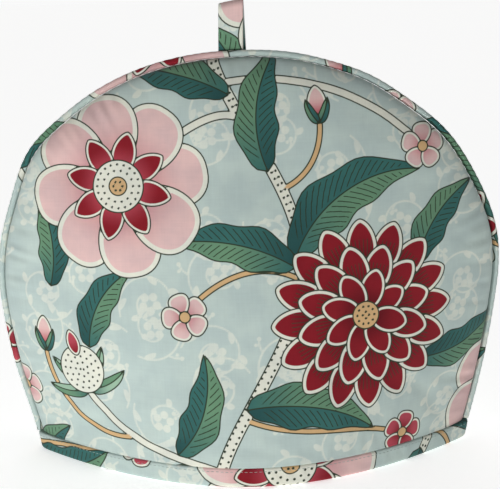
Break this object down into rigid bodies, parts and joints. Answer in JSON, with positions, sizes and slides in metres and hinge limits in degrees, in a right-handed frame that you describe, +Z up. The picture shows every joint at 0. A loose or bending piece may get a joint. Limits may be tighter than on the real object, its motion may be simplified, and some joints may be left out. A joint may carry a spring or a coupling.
{
  "type": "tea cosy",
  "caption": "Padded dome-shaped tea cosy in printed cloth, with a piped arched seam, a bound hem that opens to a pointed oval, and a hanging loop at the top",
  "frame": {"origin": "centre of the face that the hem band rests on, under the middle of the arch", "axes": "+Z up, -Y towards the front panel, X along the width"},
  "size_m": [0.341, 0.1634, 0.306],
  "materials": {
    "printed_panel": "smooth plain-woven cotton with a floral print on pale blue, padded",
    "printed_piping": "the same cotton cut on the bias over a cord",
    "printed_band": "the same cotton, folded over the hem",
    "printed_loop": "the same cotton, folded to a narrow strip"
  },
  "bodies": {
    "root": {"front_panel": "printed_panel", "back_panel": "printed_panel", "edge_piping": "printed_piping", "hem_band": "printed_band", "hanging_loop": "printed_loop"}
  },
  "joints": []
}
